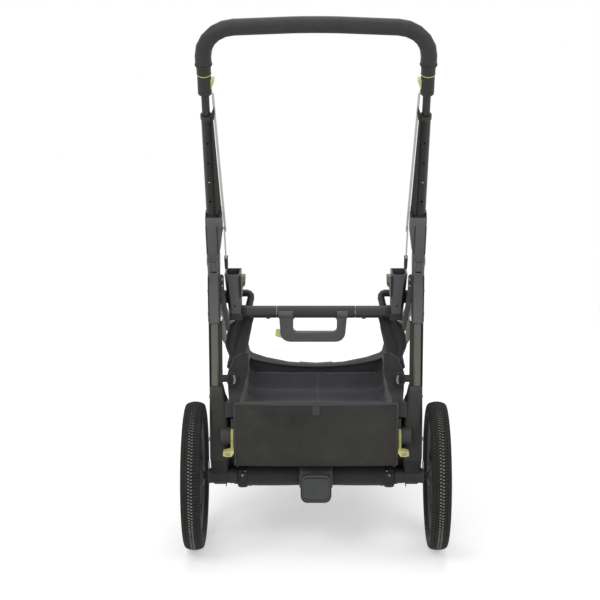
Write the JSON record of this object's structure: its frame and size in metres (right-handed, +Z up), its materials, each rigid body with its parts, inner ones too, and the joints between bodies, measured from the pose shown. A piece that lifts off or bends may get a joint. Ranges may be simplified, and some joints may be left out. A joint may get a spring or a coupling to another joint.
{
  "type": "travel system stroller",
  "caption": "Folding pushchair chassis with a telescopic U handle, seat adapters, large rear wheels, swivel front casters and a cloth basket.",
  "frame": {"origin": "on the floor, under the middle of the whole chassis", "axes": "+Z up, +Y towards the front casters, +X to the stroller's right"},
  "size_m": [0.538, 1.0144, 1.1062],
  "materials": {
    "black_tube": "satin black anodised",
    "olive_tube": "satin olive anodised",
    "pale_metal": "satin",
    "steel": "brushed",
    "grey_plastic": "fine moulded grain",
    "black_plastic": "fine moulded grain",
    "green_plastic": "satin",
    "grip_cover": "fine grain cover",
    "tyre_rubber": "ribbed tread",
    "basket_cloth": "plain weave"
  },
  "bodies": {
    "chassis": {"side_housing_left": "grey_plastic", "side_housing_right": "grey_plastic", "rear_leg_left": "olive_tube", "rear_leg_right": "olive_tube", "axle_bracket_left": "black_plastic", "axle_bracket_right": "black_plastic", "rear_axle": "black_tube", "axle_sleeve_left": "basket_cloth", "axle_sleeve_right": "basket_cloth", "brake_housing": "grey_plastic", "seat_adapter_left": "grey_plastic", "seat_adapter_right": "grey_plastic", "crossbar": "black_tube", "strut_left": "black_tube", "strut_right": "black_tube", "strut_sleeve_left": "basket_cloth", "strut_sleeve_right": "basket_cloth", "fold_pin_left": "steel", "fold_pin_right": "steel", "leg_pin_left": "steel", "leg_pin_right": "steel", "basket": "basket_cloth", "basket_rear_panel": "basket_cloth"},
    "push_frame": {"push_housing_left": "grey_plastic", "push_housing_right": "grey_plastic", "outer_tube_left": "black_tube", "outer_tube_right": "black_tube"},
    "handlebar": {"handlebar_tube": "black_tube", "handle_grip": "grip_cover", "grip_collar_left": "black_plastic", "grip_collar_right": "black_plastic", "height_adjuster_left": "black_plastic", "height_adjuster_right": "black_plastic", "release_rod_left": "pale_metal", "release_rod_right": "pale_metal"},
    "adjuster_button_left": {"adjuster_button_left": "green_plastic"},
    "adjuster_button_right": {"adjuster_button_right": "green_plastic"},
    "fold_handle": {"fold_handle": "black_plastic"},
    "fold_trigger": {"fold_trigger": "green_plastic"},
    "lock_lever_left": {"lock_lever_left": "green_plastic"},
    "lock_lever_right": {"lock_lever_right": "green_plastic"},
    "brake_pedal": {"brake_pedal": "grey_plastic"},
    "rear_wheel_left": {"rear_left_tyre": "tyre_rubber", "rear_left_wheel": "grey_plastic"},
    "rear_wheel_right": {"rear_right_tyre": "tyre_rubber", "rear_right_wheel": "grey_plastic"},
    "front_frame": {"front_leg_left": "black_tube", "front_leg_right": "black_tube", "caster_housing_left": "grey_plastic", "caster_housing_right": "grey_plastic", "front_bow": "grey_plastic"},
    "caster_left": {"caster_fork_left": "grey_plastic", "front_axle_left": "steel"},
    "caster_right": {"caster_fork_right": "grey_plastic", "front_axle_right": "steel"},
    "front_wheel_left": {"front_left_tyre": "tyre_rubber", "front_left_wheel": "grey_plastic"},
    "front_wheel_right": {"front_right_tyre": "tyre_rubber", "front_right_wheel": "grey_plastic"}
  },
  "joints": [
    {"name": "push_frame_fold", "type": "hinge", "parent": "chassis", "child": "push_frame", "pos_m": [0, -0.258, 0.6], "axis": [-1, 0, 0], "range_deg": [0, 120]},
    {"name": "front_frame_fold", "type": "hinge", "parent": "chassis", "child": "front_frame", "pos_m": [0, -0.173, 0.5], "axis": [-1, 0, 0], "range_deg": [0, 39]},
    {"name": "handle_height", "type": "slide", "parent": "push_frame", "child": "handlebar", "axis": [0, -0.4305, 0.9026], "range_m": [-0.035, 0.09]},
    {"name": "adjuster_press_left", "type": "slide", "parent": "handlebar", "child": "adjuster_button_left", "axis": [-1, 0, 0], "range_m": [0, 0.003], "stiffness_N_per_m": 400, "springref_m": -0.001},
    {"name": "adjuster_press_right", "type": "slide", "parent": "handlebar", "child": "adjuster_button_right", "axis": [1, 0, 0], "range_m": [0, 0.003], "stiffness_N_per_m": 400, "springref_m": -0.001},
    {"name": "fold_handle_turn", "type": "hinge", "parent": "chassis", "child": "fold_handle", "pos_m": [0, -0.213, 0.482], "axis": [-1, 0, 0], "range_deg": [0, 90], "stiffness_Nm_per_rad": 0.12},
    {"name": "fold_trigger_press", "type": "slide", "parent": "fold_handle", "child": "fold_trigger", "axis": [1, 0, 0], "range_m": [0, 0.005], "stiffness_N_per_m": 300, "springref_m": -0.001},
    {"name": "lock_lever_turn_left", "type": "hinge", "parent": "chassis", "child": "lock_lever_left", "pos_m": [-0.1735, -0.3, 0.244], "axis": [-1, 0, 0], "range_deg": [0, 30]},
    {"name": "lock_lever_turn_right", "type": "hinge", "parent": "chassis", "child": "lock_lever_right", "pos_m": [0.1735, -0.3, 0.244], "axis": [-1, 0, 0], "range_deg": [0, 30]},
    {"name": "brake_press", "type": "hinge", "parent": "chassis", "child": "brake_pedal", "pos_m": [0, -0.288, 0.1525], "axis": [1, 0, 0], "range_deg": [0, 15]},
    {"name": "rear_wheel_spin_left", "type": "hinge", "parent": "chassis", "child": "rear_wheel_left", "pos_m": [-0.249, -0.288, 0.1525], "axis": [1, 0, 0], "continuous": true},
    {"name": "rear_wheel_spin_right", "type": "hinge", "parent": "chassis", "child": "rear_wheel_right", "pos_m": [0.249, -0.288, 0.1525], "axis": [1, 0, 0], "continuous": true},
    {"name": "caster_swivel_left", "type": "hinge", "parent": "front_frame", "child": "caster_left", "pos_m": [-0.188, 0.447, 0.215], "axis": [0, 0, 1], "continuous": true},
    {"name": "caster_swivel_right", "type": "hinge", "parent": "front_frame", "child": "caster_right", "pos_m": [0.188, 0.447, 0.215], "axis": [0, 0, 1], "continuous": true},
    {"name": "front_wheel_spin_left", "type": "hinge", "parent": "caster_left", "child": "front_wheel_left", "pos_m": [-0.188, 0.412, 0.095], "axis": [1, 0, 0], "continuous": true},
    {"name": "front_wheel_spin_right", "type": "hinge", "parent": "caster_right", "child": "front_wheel_right", "pos_m": [0.188, 0.412, 0.095], "axis": [1, 0, 0], "continuous": true}
  ],
  "couplings": [
    {"joint": "front_frame_fold", "follows": "push_frame_fold", "ratio": 0.325}
  ]
}
